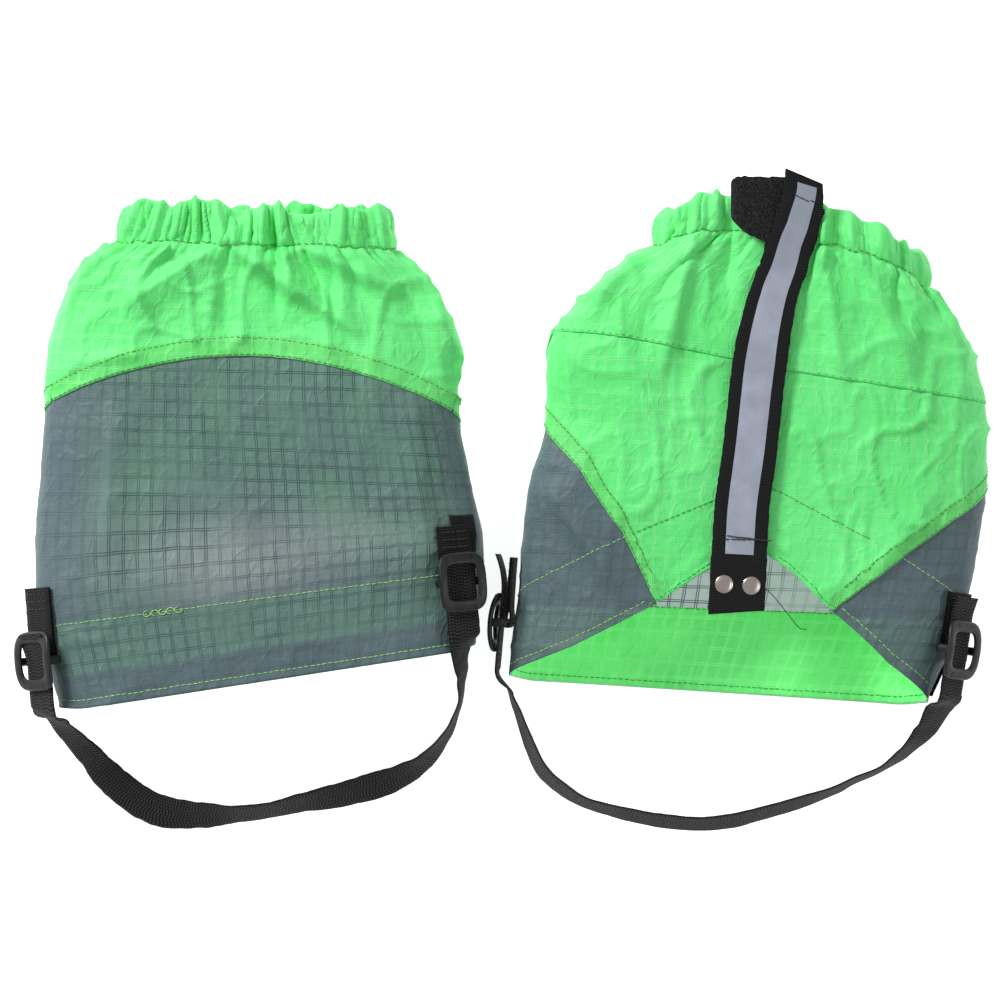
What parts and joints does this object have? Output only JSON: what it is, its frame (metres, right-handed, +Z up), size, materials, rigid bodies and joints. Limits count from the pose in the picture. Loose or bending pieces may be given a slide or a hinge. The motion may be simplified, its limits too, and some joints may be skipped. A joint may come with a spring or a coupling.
{
  "type": "pair of hiking gaiters",
  "caption": "Short ripstop gaiters lying flat, with gathered cuffs, hook-and-loop front flaps, riveted lace hooks and buckled instep straps.",
  "frame": {"origin": "centre of the bounding box in X and Y, at the floor the pair lies on", "axes": "+Z up from the floor, +X from the left gaiter to the right gaiter, +Y from the hems to the cuffs"},
  "size_m": [0.4645, 0.3028, 0.0546],
  "materials": {
    "green_ripstop": "bright green ripstop nylon",
    "grey_ripstop": "blue-grey, half see-through coated ripstop with a dark grid",
    "white_elastic": "white woven elastic",
    "black_webbing": "black woven polyester webbing",
    "black_hook_tape": "black hook-and-loop tape",
    "reflective_tape": "grey reflective tape with fine ribs",
    "nickel": "bright nickel plate",
    "black_acetal": "black moulded acetal"
  },
  "bodies": {
    "right_gaiter": {"right_yoke": "green_ripstop", "right_back_panel": "grey_ripstop", "right_front_panel_left": "green_ripstop", "right_front_panel_right": "green_ripstop", "right_hem_facing": "green_ripstop", "right_front_facing_left": "green_ripstop", "right_front_facing_right": "green_ripstop", "right_cuff_casing": "green_ripstop", "right_cuff_elastic": "white_elastic", "right_slit_binding": "black_webbing", "right_loop_tape": "black_hook_tape", "right_side_webbing_left": "black_webbing", "right_side_webbing_right": "black_webbing"},
    "right_closure": {"right_hook_tape": "black_hook_tape", "right_closure_flap": "black_webbing", "right_reflective_tape": "reflective_tape"},
    "right_tab": {"right_hook_tab": "black_webbing", "right_lace_hook": "nickel", "right_rivet_cap_1": "nickel", "right_rivet_cap_2": "nickel", "right_rivet_post_1": "nickel", "right_rivet_post_2": "nickel"},
    "right_stirrup": {"right_anchor_loop_left": "black_webbing", "right_anchor_loop_right": "black_webbing", "right_slider_buckle_left": "black_acetal", "right_slider_buckle_right": "black_acetal"},
    "right_strap": {"right_instep_strap": "black_webbing"},
    "left_gaiter": {"left_yoke": "green_ripstop", "left_back_panel": "grey_ripstop", "left_front_panel_left": "green_ripstop", "left_front_panel_right": "green_ripstop", "left_hem_facing": "green_ripstop", "left_front_facing_left": "green_ripstop", "left_front_facing_right": "green_ripstop", "left_cuff_casing": "green_ripstop", "left_cuff_elastic": "white_elastic", "left_slit_binding": "black_webbing", "left_loop_tape": "black_hook_tape", "left_side_webbing_left": "black_webbing", "left_side_webbing_right": "black_webbing"},
    "left_closure": {"left_hook_tape": "black_hook_tape", "left_closure_flap": "black_webbing", "left_reflective_tape": "reflective_tape"},
    "left_tab": {"left_hook_tab": "black_webbing", "left_lace_hook": "nickel", "left_rivet_cap_1": "nickel", "left_rivet_cap_2": "nickel", "left_rivet_post_1": "nickel", "left_rivet_post_2": "nickel"},
    "left_stirrup": {"left_anchor_loop_left": "black_webbing", "left_anchor_loop_right": "black_webbing", "left_slider_buckle_left": "black_acetal", "left_slider_buckle_right": "black_acetal"},
    "left_strap": {"left_instep_strap": "black_webbing"}
  },
  "joints": [
    {"name": "lift_left", "type": "slide", "parent": "right_gaiter", "child": "left_gaiter", "axis": [0, 0, 1], "range_m": [0, 0.15]},
    {"name": "left_closure_peel", "type": "hinge", "parent": "left_gaiter", "child": "left_closure", "pos_m": [-0.1239, -0.01426, 0.0028], "axis": [-0.0965, 0.9953, 0], "range_deg": [0, 90]},
    {"name": "left_hook_tab_flex", "type": "hinge", "parent": "left_closure", "child": "left_tab", "pos_m": [-0.11079, -0.01399, 0.0022], "axis": [0.9977, 0.0683, 0], "range_deg": [-20, 50]},
    {"name": "left_stirrup_swing", "type": "hinge", "parent": "left_gaiter", "child": "left_stirrup", "pos_m": [-0.12123, -0.0206, 0.03599], "axis": [-0.9875, -0.1405, -0.0711], "range_deg": [0, 50]},
    {"name": "left_strap_adjust", "type": "slide", "parent": "left_stirrup", "child": "left_strap", "axis": [0.0872, -0.9962, 0], "range_m": [0, 0.012]},
    {"name": "right_closure_peel", "type": "hinge", "parent": "right_gaiter", "child": "right_closure", "pos_m": [0.12533, -0.02086, 0.0441], "axis": [0.1821, 0.9833, 0], "range_deg": [0, 150]},
    {"name": "right_hook_tab_flex", "type": "hinge", "parent": "right_closure", "child": "right_tab", "pos_m": [0.11215, -0.02104, 0.0447], "axis": [-0.989, 0.1477, 0], "range_deg": [-20, 50]},
    {"name": "right_stirrup_swing", "type": "hinge", "parent": "right_gaiter", "child": "right_stirrup", "pos_m": [0.11255, -0.02855, 0.02449], "axis": [-0.9972, 0.0683, -0.0304], "range_deg": [0, 20]},
    {"name": "right_strap_adjust", "type": "slide", "parent": "right_stirrup", "child": "right_strap", "axis": [-0.0872, -0.9962, 0], "range_m": [0, 0.012]}
  ]
}
